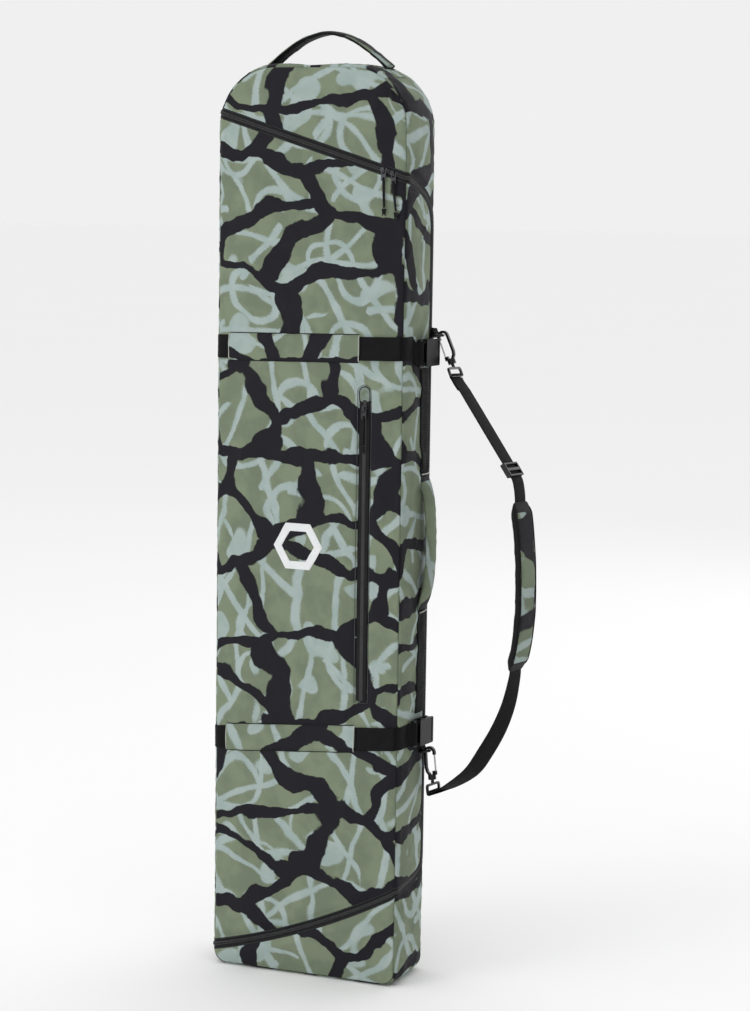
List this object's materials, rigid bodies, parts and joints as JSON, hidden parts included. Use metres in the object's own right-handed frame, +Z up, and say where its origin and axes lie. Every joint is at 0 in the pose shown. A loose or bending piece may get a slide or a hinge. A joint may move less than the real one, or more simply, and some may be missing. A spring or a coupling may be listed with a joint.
{
  "type": "snowboard bag",
  "caption": "Tall padded board bag in printed fabric with a full-length zip-round lid, two compression straps, grab handles and a clip-on shoulder strap.",
  "frame": {"origin": "middle of the flat base that the bag stands on", "axes": "+Z up along the length of the bag, front panel facing -Y, carry side with handle and shoulder strap facing +X"},
  "size_m": [0.5573, 0.1481, 1.6382],
  "materials": {
    "print_fabric": "matte",
    "zip_tape": "matte",
    "lining": "matte",
    "webbing": "matte",
    "acetal": "satin",
    "black_metal": "satin",
    "gate_wire": "satin",
    "pull_cord": "matte"
  },
  "bodies": {
    "tub": {"back_panel": "print_fabric", "top_front_panel": "print_fabric", "top_gusset": "print_fabric", "bottom_front_panel": "print_fabric", "bottom_gusset": "print_fabric", "zip_tape_tub": "zip_tape", "back_strap_upper": "webbing", "back_strap_lower": "webbing", "buckle_female_upper": "acetal", "buckle_female_lower": "acetal", "ring_tab_upper": "webbing", "ring_tab_lower": "webbing", "d_ring_upper": "black_metal", "d_ring_lower": "black_metal", "top_handle_tab_left": "webbing", "top_handle_tab_right": "webbing"},
    "lid": {"front_panel": "print_fabric", "left_gusset": "print_fabric", "right_gusset": "print_fabric", "zip_tape_lid": "zip_tape", "front_strap_upper": "webbing", "front_strap_lower": "webbing", "strap_sleeve_upper": "print_fabric", "strap_sleeve_lower": "print_fabric", "buckle_male_upper": "acetal", "buckle_male_lower": "acetal", "side_handle_web_upper": "webbing", "side_handle_web_lower": "webbing", "side_handle_grip": "print_fabric", "pocket_welt": "print_fabric", "pocket_zip": "zip_tape", "pocket_bag": "lining"},
    "release_arm_upper_a": {"release_arm_upper_a": "acetal"},
    "release_arm_upper_b": {"release_arm_upper_b": "acetal"},
    "release_arm_lower_a": {"release_arm_lower_a": "acetal"},
    "release_arm_lower_b": {"release_arm_lower_b": "acetal"},
    "main_slider_a": {"main_slider_a": "black_metal"},
    "main_slider_b": {"main_slider_b": "black_metal"},
    "pocket_slider": {"pocket_slider": "black_metal"},
    "main_pull_a": {"main_pull_a": "black_metal", "main_cord_a": "pull_cord", "main_knot_a": "pull_cord"},
    "main_pull_b": {"main_pull_b": "black_metal", "main_cord_b": "pull_cord", "main_knot_b": "pull_cord"},
    "pocket_pull": {"pocket_pull": "black_metal", "pocket_cord": "pull_cord", "pocket_knot": "pull_cord"},
    "top_handle": {"top_handle": "print_fabric"},
    "strap": {"strap_web_upper": "webbing", "strap_web_lower": "webbing", "shoulder_pad": "print_fabric", "swivel_loop_upper": "black_metal", "swivel_loop_lower": "black_metal"},
    "tri_glide": {"tri_glide": "acetal"},
    "hook_upper": {"hook_upper": "black_metal"},
    "hook_lower": {"hook_lower": "black_metal"},
    "gate_upper": {"gate_upper": "gate_wire"},
    "gate_lower": {"gate_lower": "gate_wire"}
  },
  "joints": [
    {"name": "lid_hinge", "type": "hinge", "parent": "tub", "child": "lid", "pos_m": [-0.175, 0.065, 0.79], "axis": [0, 0, -1], "range_deg": [0, 165]},
    {"name": "top_handle_fold", "type": "hinge", "parent": "tub", "child": "top_handle", "pos_m": [0.005, 0, 1.5842], "axis": [1, 0, 0], "range_deg": [-50, 50]},
    {"name": "main_slider_a_slide", "type": "slide", "parent": "lid", "child": "main_slider_a", "axis": [-0.9557, 0, 0.2943], "range_m": [0, 0.28]},
    {"name": "main_slider_b_slide", "type": "slide", "parent": "lid", "child": "main_slider_b", "axis": [0.9557, 0, -0.2943], "range_m": [0, 0.012]},
    {"name": "pocket_slider_slide", "type": "slide", "parent": "lid", "child": "pocket_slider", "axis": [0, 0, -1], "range_m": [0, 0.47]},
    {"name": "main_pull_a_swing", "type": "hinge", "parent": "main_slider_a", "child": "main_pull_a", "pos_m": [0.134, -0.06905, 1.40563], "axis": [-1, 0, 0], "range_deg": [0, 80]},
    {"name": "main_pull_b_swing", "type": "hinge", "parent": "main_slider_b", "child": "main_pull_b", "pos_m": [0.152, -0.06905, 1.40008], "axis": [-1, 0, 0], "range_deg": [0, 80]},
    {"name": "pocket_pull_swing", "type": "hinge", "parent": "pocket_slider", "child": "pocket_pull", "pos_m": [0.105, -0.07025, 1.004], "axis": [-1, 0, 0], "range_deg": [0, 80]},
    {"name": "release_upper_a", "type": "hinge", "parent": "lid", "child": "release_arm_upper_a", "pos_m": [0.18557, -0.0055, 1.1145], "axis": [0.9914, -0.1305, 0], "range_deg": [0, 7], "stiffness_Nm_per_rad": 0.4},
    {"name": "release_upper_b", "type": "hinge", "parent": "lid", "child": "release_arm_upper_b", "pos_m": [0.18557, -0.0055, 1.0835], "axis": [-0.9914, 0.1305, 0], "range_deg": [0, 7], "stiffness_Nm_per_rad": 0.4},
    {"name": "release_lower_a", "type": "hinge", "parent": "lid", "child": "release_arm_lower_a", "pos_m": [0.18557, -0.0055, 0.4565], "axis": [0.9914, -0.1305, 0], "range_deg": [0, 7], "stiffness_Nm_per_rad": 0.4},
    {"name": "release_lower_b", "type": "hinge", "parent": "lid", "child": "release_arm_lower_b", "pos_m": [0.18557, -0.0055, 0.4255], "axis": [-0.9914, 0.1305, 0], "range_deg": [0, 7], "stiffness_Nm_per_rad": 0.4},
    {"name": "strap_swing", "type": "hinge", "parent": "tub", "child": "strap", "pos_m": [0.196, 0.031, 0.403], "axis": [0.0014, 0.034, 0.9994], "range_deg": [-15, 15]},
    {"name": "tri_glide_slide", "type": "slide", "parent": "strap", "child": "tri_glide", "axis": [-0.5851, 0.0994, 0.8048], "range_m": [0, 0.1]},
    {"name": "hook_swivel_upper", "type": "hinge", "parent": "strap", "child": "hook_upper", "pos_m": [0.22325, 0.05027, 1.06442], "axis": [-0.3909, 0.0794, 0.917], "range_deg": [-5, 5]},
    {"name": "hook_swivel_lower", "type": "hinge", "parent": "strap", "child": "hook_lower", "pos_m": [0.20486, 0.02771, 0.33854], "axis": [-0.1361, 0.0505, 0.9894], "range_deg": [-5, 5]},
    {"name": "gate_upper_open", "type": "hinge", "parent": "hook_upper", "child": "gate_upper", "pos_m": [0.20439, 0.05336, 1.08708], "axis": [0.1218, 0.992, -0.0339], "range_deg": [0, 22], "stiffness_Nm_per_rad": 0.03},
    {"name": "gate_lower_open", "type": "hinge", "parent": "hook_lower", "child": "gate_lower", "pos_m": [0.20936, 0.02816, 0.36784], "axis": [-0.1218, -0.992, 0.0339], "range_deg": [0, 22], "stiffness_Nm_per_rad": 0.03}
  ],
  "couplings": [
    {"joint": "release_upper_b", "follows": "release_upper_a", "ratio": 1},
    {"joint": "release_lower_b", "follows": "release_lower_a", "ratio": 1}
  ]
}
